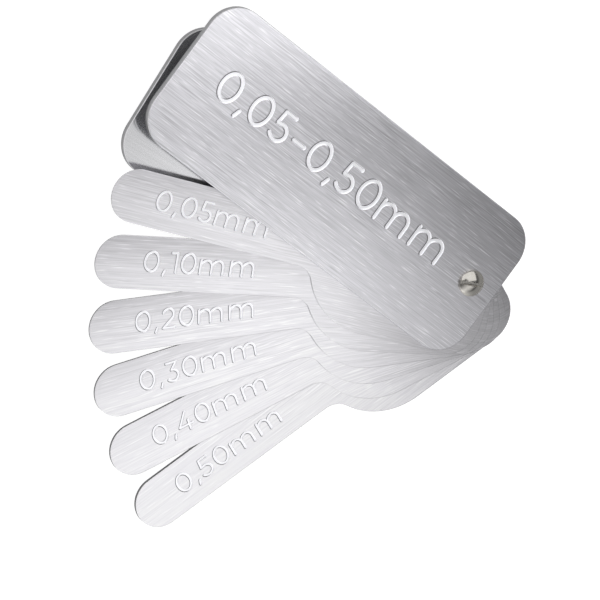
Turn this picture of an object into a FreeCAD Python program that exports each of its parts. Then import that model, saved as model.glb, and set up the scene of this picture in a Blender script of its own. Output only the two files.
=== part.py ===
import FreeCAD, Part
import math
import os

# Leaf feeler gauge: two cover plates and six measuring leaves that fan about one clamp screw.
# Millimetres. +Z is the pivot axis, z = 0 the rear cover's underside, +X runs along the rear cover.

# driving dimensions
PLATE_WIDTH = 22.0
PLATE_NEAR = 4.4            # pivot axis to the end of every plate beside it
PLATE_FAR = 56.9            # pivot axis to the far end of the covers and the leaf tips
PLATE_CORNER_R = 4.7
COVER_THICK = 1.0
COVER_EDGE = 0.08           # broken edge round the faces of a cover
LEAF_THICKS = [0.50, 0.40, 0.30, 0.20, 0.10, 0.05]   # rear to front, the sizes the leaves measure
BLADE_WIDTH = 7.5
BUTT_ROUND_X = 14.1         # centre of the round that ends a leaf's wide butt
NECK_R = 3.1                # hollow between that round and the blade
PLATE_GAP = 0.06            # running gap between neighbouring plates

REAR_ANGLE = 0.0            # directions of the plates at rest, degrees from +X
FRONT_ANGLE = -5.0
LEAF_ANGLE_STEP = 10.0
LEAF_ANGLE_LAST = 65.0      # the thickest leaf, next to the rear cover

PIVOT_R = 1.4               # barrel of the threaded post
RUNNING_GAP = 0.04          # radial gap of everything that turns on it
FOOT_R = 2.4                # flange that holds the post in the rear cover
FOOT_THICK = 0.5
FOOT_SUNK = 0.05            # flange set back from the underside, so the gauge lies on the cover
PRESS = 0.01                # radial interference of the flange in its seat
POST_SHORT = 0.1            # post end below the front cover's face, so the screw clamps the cover
POST_CHAMFER = 0.1

SCREW_R = 1.0
SCREW_END_UP = 0.35         # end of the screw above the underside
SCREW_CHAMFER = 0.2
HEAD_R = 1.9
HEAD_RIM = 0.3
HEAD_DOME = 0.6
HEAD_GAP = 0.02
SLOT_WIDTH = 0.5
SLOT_DEPTH = 0.55
SLOT_ANGLE = 20.0

TOUCH = 1e-6                # lengths closer than this count as equal
OVERSHOOT = 1.0             # how far a cutting shape runs past what it cuts

BLADE_HALF = BLADE_WIDTH / 2
BUTT_HALF = PLATE_WIDTH / 2
HOLE_R = PIVOT_R + RUNNING_GAP
STACK_TOP = COVER_THICK + sum(LEAF_THICKS) + PLATE_GAP * (len(LEAF_THICKS) + 1)
FRONT_FACE = STACK_TOP + COVER_THICK


def spot(x, y, z=0.0):
    return FreeCAD.Vector(x, y, z)


def on_round(cx, cy, radius, degrees):
    turn = math.radians(degrees)
    return spot(cx + radius * math.cos(turn), cy + radius * math.sin(turn))


def arc(cx, cy, radius, start, end):
    """Arc through three points, start and end in degrees."""
    places = [on_round(cx, cy, radius, a) for a in (start, (start + end) / 2, end)]
    return Part.Arc(*places).toShape()


def closed_wire(arcs):
    """Join arcs listed in order with straight edges where their ends do not meet."""
    edges = []
    for here, after in zip(arcs, arcs[1:] + arcs[:1]):
        edges.append(here)
        tail = here.Vertexes[-1].Point
        head = after.Vertexes[0].Point
        if (head - tail).Length > TOUCH:
            edges.append(Part.makeLine(tail, head))
    return Part.Wire(edges)


def near_corners():
    """The two rounded corners beside the pivot, shared by covers and leaves."""
    cx = PLATE_CORNER_R - PLATE_NEAR
    cy = BUTT_HALF - PLATE_CORNER_R
    return [arc(cx, cy, PLATE_CORNER_R, 90, 180), arc(cx, -cy, PLATE_CORNER_R, 180, 270)]


def cover_outline():
    cx = PLATE_FAR - PLATE_CORNER_R
    cy = BUTT_HALF - PLATE_CORNER_R
    far = [arc(cx, -cy, PLATE_CORNER_R, -90, 0), arc(cx, cy, PLATE_CORNER_R, 0, 90)]
    return closed_wire(near_corners() + far)


def leaf_outline():
    """Wide butt like a cover's, a round shoulder, a hollow neck and a narrow round-ended blade."""
    neck_y = BLADE_HALF + NECK_R
    reach = BUTT_HALF + NECK_R
    turn = math.degrees(math.asin(neck_y / reach))
    neck_x = BUTT_ROUND_X + math.sqrt(reach ** 2 - neck_y ** 2)
    side = [arc(BUTT_ROUND_X, 0, BUTT_HALF, -90, -turn),
            arc(neck_x, -neck_y, NECK_R, 180 - turn, 90)]
    tip = [arc(PLATE_FAR - BLADE_HALF, 0, BLADE_HALF, -90, 90)]
    other = [arc(neck_x, neck_y, NECK_R, -90, turn - 180),
             arc(BUTT_ROUND_X, 0, BUTT_HALF, turn, 90)]
    return closed_wire(near_corners() + side + tip + other)


def pillar(radius, low, high):
    return Part.makeCylinder(radius, high - low, spot(0, 0, low))


def plate(outline, low, thick, angle):
    """Flat plate with its pivot hole, turned about the pivot axis."""
    solid = Part.Face(outline).extrude(spot(0, 0, thick))
    solid = solid.cut(pillar(HOLE_R, -OVERSHOOT, thick + OVERSHOOT))
    solid.translate(spot(0, 0, low))
    solid.rotate(spot(0, 0), spot(0, 0, 1), angle)
    return solid


def broken_edges(solid, low, high):
    """Chamfer the outline edges of both faces of a cover, not those of its hole."""
    rim = []
    for edge in solid.Edges:
        box = edge.BoundBox
        on_face = box.ZLength < TOUCH and min(abs(box.ZMin - low), abs(box.ZMin - high)) < TOUCH
        around_hole = box.XMax < HOLE_R + TOUCH and box.YLength < 2 * HOLE_R + TOUCH
        if on_face and not around_hole:
            rim.append(edge)
    return solid.makeChamfer(COVER_EDGE, rim)


def cover(low, angle):
    solid = broken_edges(plate(cover_outline(), low, COVER_THICK, 0), low, low + COVER_THICK)
    solid.rotate(spot(0, 0), spot(0, 0, 1), angle)
    return solid


def rear_cover():
    """Cover that carries the post: its hole fits the barrel and a seat below takes the flange."""
    solid = cover(0, REAR_ANGLE)
    return solid.cut(pillar(FOOT_R, -OVERSHOOT, FOOT_SUNK + FOOT_THICK))


def front_cover():
    return cover(STACK_TOP, FRONT_ANGLE)


def leaves():
    """Each leaf by name, stacked from the rear cover up and fanned in equal steps."""
    built = {}
    low = COVER_THICK + PLATE_GAP
    for place, thick in enumerate(LEAF_THICKS):
        name = "leaf_" + f"{thick:.2f}".replace(".", "_")
        angle = LEAF_ANGLE_LAST - place * LEAF_ANGLE_STEP
        built[name] = plate(leaf_outline(), low, thick, angle)
        low += thick + PLATE_GAP
    return built


def pivot_post():
    """Flanged barrel with a plain bore where the screw's thread engages."""
    top = FRONT_FACE - POST_SHORT
    barrel = pillar(PIVOT_R, FOOT_SUNK, top)
    mouth = [edge for edge in barrel.Edges if edge.BoundBox.ZMin > top - TOUCH]
    barrel = barrel.makeChamfer(POST_CHAMFER, mouth)
    flange = pillar(FOOT_R + PRESS, FOOT_SUNK, FOOT_SUNK + FOOT_THICK)
    bore = pillar(SCREW_R + RUNNING_GAP, -OVERSHOOT, FRONT_FACE + OVERSHOOT)
    return barrel.fuse(flange).removeSplitter().cut(bore)


def pivot_screw():
    """Slotted screw with a low rim and a domed head."""
    seat = FRONT_FACE + HEAD_GAP
    shank = pillar(SCREW_R, SCREW_END_UP, seat)
    end = [edge for edge in shank.Edges if edge.BoundBox.ZMax < SCREW_END_UP + TOUCH]
    shank = shank.makeChamfer(SCREW_CHAMFER, end)
    dome_r = (HEAD_R ** 2 + HEAD_DOME ** 2) / (2 * HEAD_DOME)
    crown = seat + HEAD_RIM + HEAD_DOME
    ball = Part.makeSphere(dome_r, spot(0, 0, crown - dome_r))
    head = pillar(HEAD_R, seat, crown).common(ball)
    slot = Part.makeBox(4 * HEAD_R, SLOT_WIDTH, SLOT_DEPTH + OVERSHOOT,
                        spot(-2 * HEAD_R, -SLOT_WIDTH / 2, crown - SLOT_DEPTH))
    slot.rotate(spot(0, 0), spot(0, 0, 1), SLOT_ANGLE)
    return head.fuse(shank).removeSplitter().cut(slot)


os.makedirs("parts", exist_ok=True)
nodes = {"rear_cover": rear_cover(), "pivot_post": pivot_post(), "front_cover": front_cover(),
         "pivot_screw": pivot_screw(), **leaves()}
for node, shape in nodes.items():
    shape.exportStep(f"parts/{node}.step")
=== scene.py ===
import math

import bmesh
import bpy
import numpy as np
from mathutils import Matrix, Vector
from mathutils.geometry import delaunay_2d_cdt

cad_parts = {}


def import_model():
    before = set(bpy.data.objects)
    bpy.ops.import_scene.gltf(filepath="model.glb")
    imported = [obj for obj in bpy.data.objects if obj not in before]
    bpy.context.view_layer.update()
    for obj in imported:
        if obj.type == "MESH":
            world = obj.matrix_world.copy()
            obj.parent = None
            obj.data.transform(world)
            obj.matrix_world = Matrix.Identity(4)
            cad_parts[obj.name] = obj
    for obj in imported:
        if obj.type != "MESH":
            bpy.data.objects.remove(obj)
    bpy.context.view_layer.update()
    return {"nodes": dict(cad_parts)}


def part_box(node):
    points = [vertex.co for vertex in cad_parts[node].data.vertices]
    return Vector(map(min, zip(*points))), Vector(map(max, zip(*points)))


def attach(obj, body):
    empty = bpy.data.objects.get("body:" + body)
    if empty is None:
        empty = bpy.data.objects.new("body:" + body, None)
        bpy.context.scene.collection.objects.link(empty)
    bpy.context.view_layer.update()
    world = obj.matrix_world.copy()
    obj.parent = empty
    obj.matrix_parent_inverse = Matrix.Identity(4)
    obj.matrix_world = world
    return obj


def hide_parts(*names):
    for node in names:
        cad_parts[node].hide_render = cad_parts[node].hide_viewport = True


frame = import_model()

# Looks of the leaf feeler gauge. Meshes are worked out in millimetres and stored in metres.

MM = 0.001
UP = Vector((0, 0, 1))

# directions of the plates at rest, degrees from +X, as in the CAD
PLATE_ANGLES = {"rear_cover": 0, "front_cover": -5,
                "leaf_0_05": 15, "leaf_0_10": 25, "leaf_0_20": 35,
                "leaf_0_30": 45, "leaf_0_40": 55, "leaf_0_50": 65}

# order of a plate's materials
FACE_UP, FACE_DOWN, RIM, GROOVE_FLOOR, GROOVE_WALL = range(5)

SAME = 1e-4                 # mm, points closer than this are one
SAME_POINT = 1e-5           # mm, the same for the points of an outline
FLATNESS = 0.6              # a face whose normal is at least this upright belongs to the plate's faces
LEVEL = 0.99                # and with a normal this upright it is level
GRAIN_APART = 7.0           # mm between the grain of one plate and the next, so no two are alike

# engraved markings in mm: height of the text, its centre along the plate and across it
LEAF_TEXT_SIZE = 2.70
LEAF_TEXT_X = 41.4
LEAF_TEXT_Y = -0.25
LEAF_GROOVE = 0.215         # half width of the groove's mouth
COVER_TEXT_SIZE = 4.1
COVER_TEXT_X = 28.6
COVER_TEXT_Y = -1.05
COVER_GROOVE = 0.34
FLOOR_SHARE = 0.52          # floor of a groove against its mouth
MOUTH_SHARE = 0.995         # within this share of the groove's half width the wall goes down
ENGRAVE_DEPTH = 0.04
ENGRAVE_SHARE = 0.35        # at most this share of a thin leaf

# letters, in a box one unit high
X_HEIGHT = 0.70
ARCH_RISE = 0.32            # height of the round part of an m
ARCH_WIDTH = 0.63
GLYPH_GAP = 0.30
WIDE_GAP = 0.44             # between two letters m

# how often each kind of brush mark comes, per mm along the plate, across it and through it
BROAD_BANDS = (0.012, 0.9, 1)
LONG_LINES = (0.01, 6, 1)
SHORT_LINES = (0.18, 6.5, 1)
FLECKS = (0.35, 6.5, 1)
WORN_PATCHES = (0.04, 0.3, 1)
RUB_MARKS = (0.15, 3, 1)
RUB_HAZE = (0.12, 0.2, 1)
DRAG_MARKS = (5, 5, 0.4)

# heights of surface marks in metres
BRUSH_BUMP = 0.000005
MARK_BUMP = 0.00002
GRIT_BUMP = 0.00001

# how the brushing shows
NOISE = (0.3, 0.7)          # the range that most of a noise texture keeps to
LONG_SHARE = 0.4            # share of the long lines, the rest is short ones
LINE_TONE = 6               # tone of the lines, the bands and the flecks for each unit of contrast
BAND_TONE = 0.2
FLECK_TONE = 2
FLECK_RANGE = (0.66, 0.78)  # range of the noise over which a fleck comes up
WORN_RANGE = (0.4, 0.6)     # the same for a worn patch
WORN_LINES = (0.8, 1.3)     # strength of the lines outside a worn patch and in it
HAZE = 0.3                  # roughness and share of the soft haze over the brushing
SHADE_REACH = (-3.4, 1.2)   # mm across the plate over which a leaf's shade fades
BUTT_REACH = (4, 18)        # mm along the plate over which the shade of its butt fades
BUTT_HIGHLIGHT_END = (19, 24)         # mm along the plate over which the painted highlight on the edge of its butt ends
EDGE_RADIUS = 0.1           # mm, the soft edge of a plate
EDGE_HIGHLIGHT_RANGE = (0.88, 0.99)   # cosine of the normal's tilt over which the painted highlight on an eased edge fades

# colours of the metals
COVER_FACE = (0.785, 0.78, 0.815)
COVER_INNER = (0.90, 0.90, 0.92)
COVER_RIM = (0.5, 0.5, 0.51)
LEAF_TINT = (1, 0.99, 1.025)
LEAF_RIM = (0.24, 0.24, 0.245)
ETCHED = (0.965, 0.965, 1.0)
# colour of the painted glow in the engraved lines
PAINTED_GLOW_COLOUR = (0.96, 0.96, 1, 1)
GROOVE_FLOOR_PAINTED_GLOW = 0.2           # painted glow of a groove's floor, and of its wall that faces away from the pivot
GROOVE_WALL_PAINTED_GLOW = 0.32
WALL_PAINTED_SHADE = (0.25, 0.95)    # tone of the wall that faces the pivot, darkened as painted shadow, and of the one that faces away
NICKEL = (0.53, 0.51, 0.475)
POST_STEEL = (0.66, 0.66, 0.67)

# brightness of each leaf, set apart per leaf as painted light and shade, and how much darker it is
# toward the edge under the plate above it, as painted shade
LEAF_LIGHT_AND_SHADE = {"leaf_0_05": (0.88, 0.20), "leaf_0_10": (0.89, 0.26), "leaf_0_20": (0.92, 0.23),
              "leaf_0_30": (0.94, 0.15), "leaf_0_40": (0.97, 0.09), "leaf_0_50": (0.98, 0.02)}

# clamp screw in mm, as in the CAD
SCREW_R = 1.0
SCREW_CHAMFER = 0.2
HEAD_R = 1.9
HEAD_RIM = 0.3
HEAD_DOME = 0.6
DOME_BALL = (HEAD_R ** 2 + HEAD_DOME ** 2) / (2 * HEAD_DOME)    # radius of the dome's ball
HEAD_EASE = 0.05            # broken edge under the head
HEAD_STEPS = 96             # facets round the screw
DOME_STEPS = 16
SLOT_WIDTH = 0.5
SLOT_DEPTH = 0.55
SLOT_ANGLE = 20
CUTTER_HEIGHT = 2           # more than the slot is deep
EDGE_EASE = 0.03            # soft edge of the slot and the head
EASED_FROM = 35             # degrees, sharper edges than this are eased
SHARP_FROM = 30             # degrees, sharper edges than this are shaded sharp

# camera, aimed at a point in mm
AIM = (21.96, 14.38, 3.97)
CAMERA_AZIMUTH = -2.90      # direction from the aim to the camera, degrees
CAMERA_ELEVATION = 59.88
CAMERA_ROLL = 124.39
CAMERA_DISTANCE = 612.7
CAMERA_LENS = 267.6

# studio, in mm and radiance
FLOOR_HALF = 2000
FLOOR_BELOW = 0.2           # gap under the gauge
FLOOR_GREY = 0.5
FLOOR_SEEN = (0.84, 0.86)   # mottled glow that the camera sees
FLOOR_GLOW = 0.35           # how much of the floor's glow reaches the metal
BOX_HEIGHT = 120
SOFT_BOX = {"over": (-38, 99), "size_x": 186, "size_y": 200, "brightness": 1.02, "spin": -5.7,
            "fade": 0.555}
CORNER_BOX = {"over": (32.7, -52.2), "size_x": 200, "size_y": 120, "brightness": 1.15, "spin": 32}
SKY_OVERHEAD = 0.15
SKY_HORIZON = 0.5
SKY_BELOW = 0.6             # share of the sky's light that comes from under the horizon
SKY_FAN_SIDE = 1.1
FAN_SIDE = (0.42, 0.91, 0)  # direction the leaves fan out to
FAN_TURN = (-0.1, 0.6)      # how far toward that side the sky brightens, as a cosine
SKY_FADE = (0.45, 0.75)     # height over which the bright side fades, as a sine
HORIZON = (-0.1, 0.1)       # height of the horizon's soft band, as a sine


# strokes of the markings, in a box one unit high

def bow(cx, cy, rx, ry, start, end, steps=16):
    """Points along an ellipse arc, angles in degrees."""
    turns = [math.radians(start + (end - start) * i / steps) for i in range(steps + 1)]
    return [(cx + rx * math.cos(t), cy + ry * math.sin(t)) for t in turns]


def arch(x):
    """One hump of the letter m and the stem it ends in."""
    r = ARCH_WIDTH / 2
    return bow(x + r, X_HEIGHT - ARCH_RISE, r, ARCH_RISE, 175, 0, 12) + [(x + ARCH_WIDTH, 0)]


GLYPHS = {
    "0": (0.74, [bow(0.37, 0.5, 0.37, 0.5, 0, 360, 32)]),
    "1": (0.30, [[(0, 1), (0.3, 1)], [(0.3, 1), (0.3, 0)]]),
    "2": (0.64, [bow(0.31, 0.70, 0.29, 0.30, 160, -38, 14) + [(0.02, 0)], [(0.02, 0), (0.64, 0)]]),
    "3": (0.62, [[(0.03, 1), (0.58, 1)], [(0.58, 1), (0.27, 0.6)],
                 bow(0.29, 0.30, 0.32, 0.30, 92, -140, 18)]),
    "4": (0.74, [[(0.5, 1), (0, 0.27)], [(0, 0.27), (0.74, 0.27)], [(0.55, 0.52), (0.55, 0)]]),
    "5": (0.64, [[(0.58, 1), (0.12, 1)], [(0.12, 1), (0.07, 0.56)],
                 [(0.07, 0.56)] + bow(0.28, 0.29, 0.33, 0.29, 90, -145, 18)]),
    ",": (0.10, [[(0.1, 0.05), (0.02, -0.17)]]),
    "-": (0.50, [[(0, 0.4), (0.5, 0.4)]]),
    "m": (2 * ARCH_WIDTH, [[(0, X_HEIGHT), (0, 0)], arch(0), arch(ARCH_WIDTH)]),
}


def text_strokes(text, size, centre_x, centre_y):
    """Strokes of a marking read from the far end towards the pivot, in a plate's own frame."""
    placed = []
    cursor = 0.0
    for here, after in zip(text, text[1:] + " "):
        width, strokes = GLYPHS[here]
        placed += [[(cursor + x, y) for x, y in stroke] for stroke in strokes]
        cursor += width + (WIDE_GAP if here == after == "m" else GLYPH_GAP)
    length = cursor - GLYPH_GAP
    return [[(centre_x - (x - length / 2) * size, centre_y - (y - 0.5) * size) for x, y in stroke]
            for stroke in placed]


def stroke_outline(stroke, half):
    """Closed loops at a distance from a stroke: one round an open stroke, two for a ring."""
    points = np.array(stroke)
    closed = np.allclose(points[0], points[-1])
    along = np.gradient(points, axis=0)
    if closed:
        along[0] = along[-1] = points[1] - points[-2]
    along /= np.linalg.norm(along, axis=1)[:, None]
    side = np.column_stack([-along[:, 1], along[:, 0]]) * half
    if closed:
        return [(points + side)[:-1], (points - side)[:-1]]
    start = math.degrees(math.atan2(side[-1][1], side[-1][0]))
    first = math.degrees(math.atan2(-side[0][1], -side[0][0]))
    cap = bow(*points[-1], half, half, start, start - 180, 8)[1:-1]
    tail = bow(*points[0], half, half, first, first - 180, 8)[1:-1]
    return [np.vstack([points + side, cap, (points - side)[::-1], tail])]


def distance_to_strokes(places, strokes):
    """Least distance from each place to any stroke."""
    best = np.full(len(places), np.inf)
    for stroke in strokes:
        points = np.array(stroke)
        for a, b in zip(points, points[1:]):
            ab = b - a
            share = np.clip((places - a) @ ab / (ab @ ab), 0, 1)
            gap = np.linalg.norm(places - a - share[:, None] * ab, axis=1)
            best = np.minimum(best, gap)
    return best


# plates

def inside(places, loops):
    """Even-odd test of places against closed loops."""
    odd = np.zeros(len(places), bool)
    for loop in loops:
        a = np.array(loop)
        b = np.roll(a, -1, axis=0)
        for (x1, y1), (x2, y2) in zip(a, b):
            spans = (y1 > places[:, 1]) != (y2 > places[:, 1])
            if spans.any():
                cross = x1 + (places[:, 1] - y1) * (x2 - x1) / ((y2 - y1) or 1)
                odd ^= spans & (places[:, 0] < cross)
    return odd


def boundary_loops(mesh, faces):
    """Closed chains of vertices round a set of faces."""
    beside = {}
    for edge in mesh.edges:
        if sum(face in faces for face in edge.link_faces) == 1:
            for here, there in (edge.verts, reversed(edge.verts)):
                beside.setdefault(here, []).append(there)
    loops = []
    while beside:
        loop = [next(iter(beside))]
        came = None
        while True:
            here = loop[-1]
            step = [vert for vert in beside.pop(here) if vert is not came][0]
            if step is loop[0]:
                break
            came = here
            loop.append(step)
        loops.append(loop)
    return loops


def triangulated(loops):
    """Points and triangles of the flat area that closed loops divide up."""
    places, edges = [], []
    for loop in loops:
        first = len(places)
        places += [Vector(p) for p in loop]
        edges += [(first + i, first + (i + 1) % len(loop)) for i in range(len(loop))]
    flat, _, triangles, *_ = delaunay_2d_cdt(places, edges, [], 0, SAME_POINT)
    return np.array([p[:] for p in flat]), np.array([t[:] for t in triangles])


def engrave(mesh, strokes, groove, depth):
    """Cut the markings into the plate's top face, with a flat floor between two sloped walls."""
    top = max(v.co.z for v in mesh.verts)
    faces = [f for f in mesh.faces if f.normal.z > LEVEL and f.calc_center_median().z > top - SAME]
    outline = [[v.co.xy[:] for v in loop] for loop in boundary_loops(mesh, set(faces))]
    bmesh.ops.delete(mesh, geom=faces, context="FACES_KEEP_BOUNDARY")
    loops = list(outline)
    for stroke in strokes:
        loops += stroke_outline(stroke, groove)
        loops += stroke_outline(stroke, groove * FLOOR_SHARE)
    flat, corners = triangulated(loops)
    centres = flat[corners].mean(axis=1)
    keep = inside(centres, outline)
    gap = distance_to_strokes(flat, strokes)
    drop = np.clip((groove * MOUTH_SHARE - gap) / (groove * (1 - FLOOR_SHARE)), 0, 1) * depth
    middle = distance_to_strokes(centres, strokes)
    made = [mesh.verts.new((x, y, top - d)) for (x, y), d in zip(flat, drop)]
    for triangle, centre_gap in zip(corners[keep], middle[keep]):
        face = mesh.faces.new([made[i] for i in triangle])
        if centre_gap < groove * FLOOR_SHARE:
            face.material_index = GROOVE_FLOOR
        elif centre_gap < groove:
            face.material_index = GROOVE_WALL
    bmesh.ops.delete(mesh, geom=[v for v in made if not v.link_faces], context="VERTS")
    bmesh.ops.remove_doubles(mesh, verts=mesh.verts, dist=SAME)


def plate_mesh(node, to_plate):
    """The CAD's plate in its own frame in mm, each face given its material by the way it points."""
    mesh = bmesh.new()
    mesh.from_mesh(frame["nodes"][node].data)
    mesh.transform(to_plate)
    bmesh.ops.remove_doubles(mesh, verts=mesh.verts, dist=SAME)
    for face in mesh.faces:
        face.normal_update()
        face.material_index = RIM
        if abs(face.normal.z) > FLATNESS:
            face.material_index = FACE_UP if face.normal.z > 0 else FACE_DOWN
    return mesh


def keep_vectors(data, attribute, vectors):
    """Store one vector for each vertex, for the materials to read."""
    kept = data.attributes.new(attribute, "FLOAT_VECTOR", "POINT")
    kept.data.foreach_set("vector", np.array(vectors, np.float32).ravel())


def plate_piece(node, name, faces_up, faces_down, rim, marks=None):
    """A plate with the CAD's own outline, its faces finished apart and its markings cut in."""
    angle = math.radians(PLATE_ANGLES[node])
    to_plate = Matrix.Rotation(-angle, 4, "Z") @ Matrix.Scale(1 / MM, 4)
    mesh = plate_mesh(node, to_plate)
    if marks:
        thick = max(v.co.z for v in mesh.verts) - min(v.co.z for v in mesh.verts)
        text, size, x, y, groove = marks
        depth = min(ENGRAVE_DEPTH, thick * ENGRAVE_SHARE)
        engrave(mesh, text_strokes(text, size, x, y), groove, depth)
    apart = GRAIN_APART * list(PLATE_ANGLES).index(node)
    grain = [(v.co.x, v.co.y, v.co.z + apart) for v in mesh.verts]
    mesh.transform(to_plate.inverted())
    data = bpy.data.meshes.new(name)
    mesh.to_mesh(data)
    mesh.free()
    keep_vectors(data, "grain", grain)
    keep_vectors(data, "lay", [(math.cos(angle), math.sin(angle), 0)] * len(grain))
    for material in (faces_up, faces_down, rim, etched_floor(), etched_wall()):
        data.materials.append(material)
    piece = bpy.data.objects.new(name, data)
    bpy.context.scene.collection.objects.link(piece)
    return piece


# materials

class Nodes:
    """Short hand for building the node tree of a material, a light or the world."""

    def __init__(self, owner, output="ShaderNodeOutputMaterial"):
        self.owner = owner
        owner.use_nodes = True
        self.tree = owner.node_tree
        self.tree.nodes.clear()
        self.out = self.add(output)

    def add(self, kind, **settings):
        node = self.tree.nodes.new(kind)
        for key, value in settings.items():
            if key in node.inputs:
                self.put(node.inputs[key], value)
            else:
                setattr(node, key, value)
        return node

    def put(self, socket, value):
        if isinstance(value, bpy.types.NodeSocket):
            self.tree.links.new(value, socket)
        else:
            socket.default_value = value

    def math(self, operation, a, b=0.0, c=0.0):
        node = self.add("ShaderNodeMath", operation=operation)
        for socket, value in zip(node.inputs, (a, b, c)):
            self.put(socket, value)
        return node.outputs[0]

    def dot(self, a, b):
        node = self.add("ShaderNodeVectorMath", operation="DOT_PRODUCT")
        self.put(node.inputs[0], a)
        self.put(node.inputs[1], b)
        return node.outputs["Value"]

    def attribute(self, name):
        return self.add("ShaderNodeAttribute", attribute_name=name).outputs["Vector"]

    def stretched(self, vector, scale):
        node = self.add("ShaderNodeVectorMath", operation="MULTIPLY")
        self.put(node.inputs[0], vector)
        self.put(node.inputs[1], scale)
        return node.outputs[0]

    def noise(self, vector, scale=1.0, detail=3.0):
        return self.add("ShaderNodeTexNoise", Vector=vector, Scale=scale, Detail=detail).outputs["Fac"]

    def ramp(self, value, low, high, out_low=0.0, out_high=1.0, shape="LINEAR"):
        node = self.add("ShaderNodeMapRange", interpolation_type=shape)
        for key, number in (("Value", value), ("From Min", low), ("From Max", high),
                            ("To Min", out_low), ("To Max", out_high)):
            self.put(node.inputs[key], number)
        return node.outputs["Result"]

    def tint(self, colour, amount):
        """A colour made lighter or darker by a factor."""
        node = self.add("ShaderNodeVectorMath", operation="SCALE")
        self.put(node.inputs[0], colour)
        self.put(node.inputs["Scale"], amount)
        return node.outputs[0]

    def bump(self, height, strength, distance, normal=None):
        node = self.add("ShaderNodeBump", Height=height, Strength=strength, Distance=distance)
        if normal is not None:
            self.put(node.inputs["Normal"], normal)
        return node.outputs["Normal"]

    def metal(self, **inputs):
        shader = self.add("ShaderNodeBsdfPrincipled")
        self.put(shader.inputs["Metallic"], 1.0)
        for key, value in inputs.items():
            self.put(shader.inputs[key.replace("_", " ")], value)
        self.tree.links.new(shader.outputs[0], self.out.inputs["Surface"])
        return self.owner

    def blend(self, shader, share):
        """Mix a share of another shader over what the surface shows so far."""
        socket = self.out.inputs["Surface"]
        mix = self.add("ShaderNodeMixShader", Fac=share)
        self.put(mix.inputs[1], socket.links[0].from_socket)
        self.put(mix.inputs[2], shader)
        self.put(socket, mix.outputs[0])
        return self.owner

    def glow(self, kind, strength):
        self.put(self.out.inputs["Surface"], self.add(kind, Strength=strength).outputs[0])


def material_nodes(name):
    """Node tree of a new material."""
    return Nodes(bpy.data.materials.new(name))


def brush_lines(n, grain):
    """Height of the brushing: long lines and shorter ones among them."""
    long_lines = n.noise(n.stretched(grain, LONG_LINES), detail=1)
    short_lines = n.noise(n.stretched(grain, SHORT_LINES), detail=1)
    return n.math("ADD", n.math("MULTIPLY", long_lines, LONG_SHARE),
                  n.math("MULTIPLY", short_lines, 1 - LONG_SHARE))


def brush_tone(n, grain, lines, contrast, shade, butt_shade):
    """Brightness of the brushing with its bands and flecks. The plate's -Y side is darker by shade, its
    end at the pivot by butt_shade."""
    broad = n.noise(n.stretched(grain, BROAD_BANDS), detail=2)
    flecks = n.ramp(n.noise(n.stretched(grain, FLECKS), detail=0), *FLECK_RANGE)
    worn = n.ramp(n.noise(n.stretched(grain, WORN_PATCHES), detail=1), *WORN_RANGE, *WORN_LINES)
    drawn = n.math("MULTIPLY", n.math("SUBTRACT", lines, 0.5), contrast * LINE_TONE)
    tone = n.math("MULTIPLY_ADD", n.math("SUBTRACT", broad, 0.5), contrast * BAND_TONE, 1.0)
    tone = n.math("MULTIPLY_ADD", drawn, worn, tone)
    tone = n.math("MULTIPLY_ADD", flecks, contrast * FLECK_TONE, tone)
    place = n.add("ShaderNodeSeparateXYZ", Vector=grain)
    tone = n.math("MULTIPLY", tone, n.ramp(place.outputs["Y"], *SHADE_REACH, 1 - shade, 1))
    return n.math("MULTIPLY", tone, n.ramp(place.outputs["X"], *BUTT_REACH, 1 - butt_shade, 1))


def brushed_steel(name, colour, rough, contrast, edge, shade=0.0, butt_shade=0.0):
    """Steel brushed along the plate. Its eased edges are lighter by the factor edge, as a painted
    highlight.
    """
    n = material_nodes(name)
    grain = n.attribute("grain")
    lines = brush_lines(n, grain)
    tone = brush_tone(n, grain, lines, contrast, shade, butt_shade)
    eased = n.add("ShaderNodeBevel", samples=8, Radius=EDGE_RADIUS * MM).outputs[0]
    flat = n.dot(eased, n.add("ShaderNodeNewGeometry").outputs["True Normal"])
    # painted highlight: the eased edges are made lighter by the factor edge
    shown = n.tint(colour, n.math("MULTIPLY", tone, n.ramp(flat, *EDGE_HIGHLIGHT_RANGE, edge, 1)))
    lay = n.add("ShaderNodeVectorTransform", vector_type="VECTOR", convert_from="OBJECT",
                convert_to="WORLD")
    n.put(lay.inputs[0], n.attribute("lay"))
    bumped = n.bump(lines, 0.4, BRUSH_BUMP, eased)
    n.metal(Base_Color=shown, Roughness=n.ramp(lines, *NOISE, rough - 0.03, rough + 0.04),
            Anisotropic=0.8, Anisotropic_Rotation=0.25, Tangent=lay.outputs[0], Normal=bumped)
    haze = n.add("ShaderNodeBsdfAnisotropic", Color=shown, Roughness=HAZE, Normal=bumped)
    return n.blend(haze.outputs[0], HAZE)


def polished_steel(name, colour):
    """Smooth inner face of a cover with faint rub marks left by the leaves."""
    n = material_nodes(name)
    grain = n.attribute("grain")
    haze = n.noise(n.stretched(grain, RUB_HAZE), detail=3)
    rubs = n.noise(n.stretched(grain, RUB_MARKS), detail=4)
    return n.metal(Base_Color=n.tint(colour, n.ramp(rubs, *NOISE, 0.96, 1.03)), Metallic=0.94,
                   Roughness=n.ramp(haze, 0.35, 0.7, 0.12, 0.2), Normal=n.bump(rubs, 0.05, MARK_BUMP))


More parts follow.
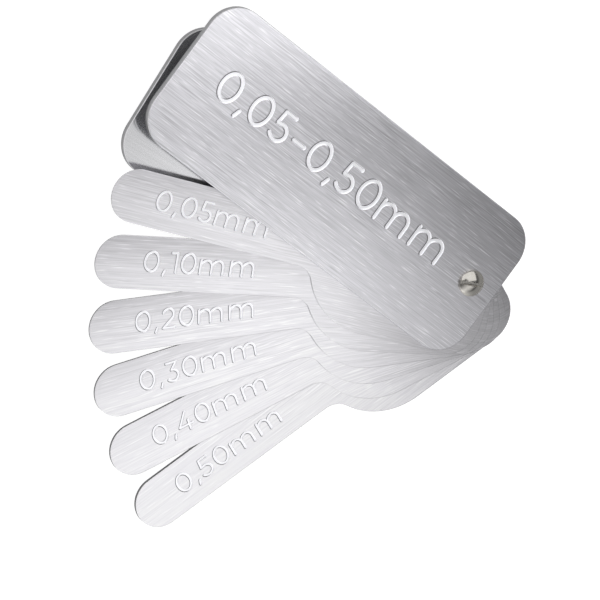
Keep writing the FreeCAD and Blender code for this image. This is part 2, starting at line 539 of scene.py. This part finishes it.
def cut_edge(name, colour, butt_highlight=1.0):
    """Satin edge of a stamped plate, with fine drag marks. Round a butt it is brighter by a factor, as
    a painted highlight.
    """
    n = material_nodes(name)
    grain = n.attribute("grain")
    marks = n.noise(n.stretched(grain, DRAG_MARKS), detail=3)
    along = n.add("ShaderNodeSeparateXYZ", Vector=grain).outputs["X"]
    # painted highlight: the rim round the butt is brighter by the factor given
    tone = n.math("MULTIPLY", n.ramp(marks, *NOISE, 0.9, 1.08), n.ramp(along, *BUTT_HIGHLIGHT_END, butt_highlight, 1))
    return n.metal(Base_Color=n.tint(colour, tone),
                   Roughness=n.ramp(marks, *NOISE, 0.3, 0.45), Normal=n.bump(marks, 0.2, MARK_BUMP))


def etched_floor():
    """Clean bright metal at the bottom of an engraved line, with a painted glow."""
    n = material_nodes("etched_floor")
    grit = n.noise(n.attribute("grain"), scale=9, detail=4)
    return n.metal(Base_Color=n.tint(ETCHED, n.ramp(grit, *NOISE, 0.98, 1.0)), Roughness=0.3,
                   Normal=n.bump(grit, 0.2, GRIT_BUMP),
                   Emission_Color=PAINTED_GLOW_COLOUR, Emission_Strength=GROOVE_FLOOR_PAINTED_GLOW)


def etched_wall():
    """Sloped side of an engraved line: darkened as painted shadow where it faces the pivot, bright with
    a painted glow where it faces away.
    """
    n = material_nodes("etched_wall")
    grit = n.noise(n.attribute("grain"), scale=7, detail=4)
    facing = n.dot(n.add("ShaderNodeTexCoord").outputs["Normal"], n.attribute("lay"))
    # painted shadow on the wall that faces the pivot, painted glow on the wall that faces away
    painted_lit_wall = n.ramp(facing, -0.12, 0.12)
    tone = n.math("MULTIPLY", n.ramp(grit, *NOISE, 0.9, 1.05), n.ramp(painted_lit_wall, 0, 1, *WALL_PAINTED_SHADE))
    return n.metal(Base_Color=n.tint(ETCHED, tone), Roughness=0.45,
                   Normal=n.bump(grit, 0.3, MARK_BUMP), Emission_Color=PAINTED_GLOW_COLOUR,
                   Emission_Strength=n.ramp(painted_lit_wall, 0, 1, 0, GROOVE_WALL_PAINTED_GLOW))


def turned_metal(name, colour, rough, ring):
    """Metal turned on a lathe about Z: fine rings that show as faint circles, as strong as ring."""
    n = material_nodes(name)
    place = n.add("ShaderNodeTexCoord").outputs["Object"]
    flat = n.add("ShaderNodeVectorMath", operation="LENGTH")
    n.put(flat.inputs[0], n.stretched(place, (1 / MM, 1 / MM, 0)))
    rings = n.add("ShaderNodeCombineXYZ")
    n.put(rings.inputs[0], flat.outputs["Value"])
    fine = n.noise(rings.outputs[0], scale=14, detail=2)
    wear = n.noise(n.stretched(place, (1 / MM, 1 / MM, 1 / MM)), scale=1.3, detail=4)
    tone = n.math("MULTIPLY", n.ramp(wear, *NOISE, 0.92, 1.05), n.ramp(fine, *NOISE, 0.97, 1.03))
    return n.metal(Base_Color=n.tint(colour, tone),
                   Roughness=n.ramp(wear, 0.35, 0.7, rough - 0.03, rough + 0.08),
                   Normal=n.bump(fine, ring, MARK_BUMP))


# screw

def screw_profile(foot, top):
    """Radius and height along the screw's outline, from the middle of its foot to the dome's crown."""
    seat = top - HEAD_DOME - HEAD_RIM
    dome = [(DOME_BALL * math.sin(t), top - DOME_BALL * (1 - math.cos(t)))
            for t in np.linspace(math.asin(HEAD_R / DOME_BALL), 0, DOME_STEPS)]
    return [(0, foot), (SCREW_R - SCREW_CHAMFER, foot), (SCREW_R, foot + SCREW_CHAMFER),
            (SCREW_R, seat), (HEAD_R - HEAD_EASE, seat), (HEAD_R, seat + HEAD_EASE)] + dome


def turned(profile, name):
    """Solid turned about Z from a profile that starts and ends on the axis."""
    mesh = bmesh.new()
    rings = []
    for step in range(HEAD_STEPS):
        turn = math.tau * step / HEAD_STEPS
        rings.append([mesh.verts.new((r * math.cos(turn), r * math.sin(turn), z)) for r, z in profile])
    for here, after in zip(rings, rings[1:] + rings[:1]):
        for i in range(len(profile) - 1):
            mesh.faces.new((here[i], after[i], after[i + 1], here[i + 1]))
    bmesh.ops.remove_doubles(mesh, verts=mesh.verts, dist=SAME)
    return object_from(mesh, name)


def slot_cutter(bottom):
    """Block that mills the slot, from the height of the slot's floor up."""
    mesh = bmesh.new()
    bmesh.ops.create_cube(mesh, size=1)
    lift = Matrix.Translation((0, 0, bottom + CUTTER_HEIGHT / 2))
    turn = Matrix.Rotation(math.radians(SLOT_ANGLE), 4, "Z")
    size = Matrix.Diagonal((4 * HEAD_R, SLOT_WIDTH, CUTTER_HEIGHT, 1))
    bmesh.ops.transform(mesh, matrix=turn @ lift @ size, verts=mesh.verts)
    return object_from(mesh, "slot_cutter")


def screw_piece():
    """Slotted screw turned as a profile, with its slot milled out and its edges eased."""
    low, high = (Vector(c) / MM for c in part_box("pivot_screw"))
    # the CAD's box ends at the lips of the slot, just under the crown of the uncut dome
    lips = math.sqrt(DOME_BALL ** 2 - (SLOT_WIDTH / 2) ** 2)
    top = high.z + DOME_BALL - lips
    blank = turned(screw_profile(low.z, top), "pivot_screw_turned")
    tool = slot_cutter(top - SLOT_DEPTH)
    cut = blank.modifiers.new("slot", "BOOLEAN")
    cut.operation = "DIFFERENCE"
    cut.object = tool
    cut.solver = "EXACT"
    ease = blank.modifiers.new("ease", "BEVEL")
    ease.width = EDGE_EASE
    ease.segments = 2
    ease.limit_method = "ANGLE"
    ease.angle_limit = math.radians(EASED_FROM)
    data = bpy.data.meshes.new_from_object(blank.evaluated_get(bpy.context.evaluated_depsgraph_get()))
    blank.modifiers.clear()
    bpy.data.objects.remove(tool)
    data.transform(Matrix.Scale(MM, 4))
    blank.data = data
    data.materials.clear()
    data.materials.append(turned_metal("screw_nickel", NICKEL, rough=0.13, ring=0.03))
    data.shade_smooth()
    data.set_sharp_from_angle(angle=math.radians(SHARP_FROM))
    return blank


def object_from(mesh, name):
    """Object in the scene made from a mesh, which is then freed."""
    data = bpy.data.meshes.new(name)
    mesh.to_mesh(data)
    mesh.free()
    made = bpy.data.objects.new(name, data)
    bpy.context.scene.collection.objects.link(made)
    bpy.context.view_layer.update()
    return made


# stage

def floor():
    """Pale floor under the gauge, clear from below so the gauge can be seen from there."""
    n = material_nodes("pale_floor")
    mottle = n.noise(n.add("ShaderNodeTexCoord").outputs["Object"], scale=6, detail=2)
    paint = n.add("ShaderNodeBsdfDiffuse", Color=(FLOOR_GREY, FLOOR_GREY, FLOOR_GREY, 1))
    seen = n.add("ShaderNodeLightPath").outputs["Is Camera Ray"]
    bright = n.math("MULTIPLY", n.ramp(mottle, *NOISE, *FLOOR_SEEN), n.ramp(seen, 0, 1, FLOOR_GLOW, 1))
    glow = n.add("ShaderNodeEmission", Strength=bright)
    both = n.add("ShaderNodeAddShader")
    n.put(both.inputs[0], paint.outputs[0])
    n.put(both.inputs[1], glow.outputs[0])
    clear = n.add("ShaderNodeBsdfTransparent")
    mix = n.add("ShaderNodeMixShader", Fac=n.add("ShaderNodeNewGeometry").outputs["Backfacing"])
    n.put(mix.inputs[1], both.outputs[0])
    n.put(mix.inputs[2], clear.outputs[0])
    n.put(n.out.inputs["Surface"], mix.outputs[0])
    mesh = bmesh.new()
    bmesh.ops.create_grid(mesh, x_segments=1, y_segments=1, size=FLOOR_HALF * MM)
    made = object_from(mesh, "floor")
    made.location.z = -FLOOR_BELOW * MM
    made.data.materials.append(n.owner)


def area(name, over, size_x, size_y, brightness, spin, fade=0.0):
    """Soft box: an area light facing down from over a place in mm, with the radiance given.
    Both ends of its width fade out over the share given."""
    data = bpy.data.lights.new(name, "AREA")
    data.shape = "RECTANGLE"
    data.size = size_x * MM
    data.size_y = size_y * MM
    data.energy = math.pi * brightness * data.size * data.size_y
    lamp = bpy.data.objects.new(name, data)
    bpy.context.scene.collection.objects.link(lamp)
    lamp.location = Vector((*over, BOX_HEIGHT)) * MM
    lamp.rotation_euler.z = math.radians(spin)
    lamp.visible_camera = False
    if fade:
        n = Nodes(data, "ShaderNodeOutputLight")
        spot = n.add("ShaderNodeNewGeometry").outputs["Parametric"]
        across = n.add("ShaderNodeSeparateXYZ", Vector=spot).outputs["X"]
        rise = n.ramp(across, 0, fade, shape="SMOOTHSTEP")
        fall = n.ramp(across, 1 - fade, 1, 1, 0, "SMOOTHSTEP")
        n.glow("ShaderNodeEmission", n.math("MULTIPLY", rise, fall))


def world():
    """Sky that is dim overhead and brighter toward the horizon, most of all on the side the leaves fan
    out to. The camera sees it white."""
    made = bpy.data.worlds.new("studio")
    bpy.context.scene.world = made
    n = Nodes(made, "ShaderNodeOutputWorld")
    way = n.add("ShaderNodeTexCoord").outputs["Generated"]
    height = n.add("ShaderNodeSeparateXYZ", Vector=way).outputs["Z"]
    side = n.ramp(n.dot(way, FAN_SIDE), *FAN_TURN, SKY_HORIZON, SKY_FAN_SIDE, "SMOOTHSTEP")
    low = n.ramp(height, *SKY_FADE, 1, 0, "SMOOTHSTEP")
    level = n.math("MAXIMUM", n.math("MULTIPLY", side, low), SKY_OVERHEAD)
    shown = n.math("MULTIPLY", level, n.ramp(height, *HORIZON, SKY_BELOW, 1))
    seen = n.add("ShaderNodeLightPath").outputs["Is Camera Ray"]
    n.glow("ShaderNodeBackground", n.math("MAXIMUM", shown, seen))


def camera():
    """Camera at its distance and direction from the aim, rolled about its own axis."""
    data = bpy.data.cameras.new("camera")
    data.lens = CAMERA_LENS
    data.clip_start = 0.01
    data.clip_end = 20
    made = bpy.data.objects.new("camera", data)
    bpy.context.scene.collection.objects.link(made)
    a, e = math.radians(CAMERA_AZIMUTH), math.radians(CAMERA_ELEVATION)
    back = Vector((math.cos(a) * math.cos(e), math.sin(a) * math.cos(e), math.sin(e)))
    right = UP.cross(back).normalized()
    level = Matrix((right, back.cross(right), back)).transposed()
    made.rotation_mode = "QUATERNION"
    roll = Matrix.Rotation(math.radians(CAMERA_ROLL), 3, "Z")
    made.rotation_quaternion = (level @ roll).to_quaternion()
    made.location = Vector(AIM) * MM + back * CAMERA_DISTANCE * MM
    bpy.context.scene.camera = made


# the scene

# edge is the strength of the painted highlight on the eased edges
cover_face = brushed_steel("cover_face", COVER_FACE, rough=0.19, contrast=0.18, edge=1.8,
                           butt_shade=0.06)
cover_inner = polished_steel("cover_inner", COVER_INNER)
cover_rim = cut_edge("cover_rim", COVER_RIM)
# the leaf rim is brighter round the butt as a painted highlight
leaf_rim = cut_edge("leaf_rim", LEAF_RIM, butt_highlight=3.2)

cover_marks = ("0,05-0,50mm", COVER_TEXT_SIZE, COVER_TEXT_X, COVER_TEXT_Y, COVER_GROOVE)
made = {"front_cover": plate_piece("front_cover", "front_cover_brushed", cover_face, cover_inner,
                                   cover_rim, cover_marks),
        "rear_cover": plate_piece("rear_cover", "rear_cover_polished", cover_inner, cover_face,
                                  cover_rim)}
# each leaf's brightness and its darker band under the plate above are painted light and shade
for leaf, (bright, shade) in LEAF_LIGHT_AND_SHADE.items():
    leaf_face = brushed_steel(leaf + "_face", [bright * share for share in LEAF_TINT], rough=0.21,
                              contrast=0.115, edge=1.3, shade=shade, butt_shade=0.24)
    text = leaf.removeprefix("leaf_").replace("_", ",") + "mm"
    marks = (text, LEAF_TEXT_SIZE, LEAF_TEXT_X, LEAF_TEXT_Y, LEAF_GROOVE)
    made[leaf] = plate_piece(leaf, leaf + "_engraved", leaf_face, leaf_face, leaf_rim, marks)
for node, piece in made.items():
    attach(piece, node)
    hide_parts(node)

screw = screw_piece()
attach(screw, "pivot_screw")
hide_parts("pivot_screw")

post = frame["nodes"]["pivot_post"]
post.data.materials.clear()
post.data.materials.append(turned_metal("post_steel", POST_STEEL, rough=0.28, ring=0.08))

floor()
world()
area("soft_box", **SOFT_BOX)
area("corner_box", **CORNER_BOX)
camera()
bpy.context.scene.view_settings.view_transform = "Standard"
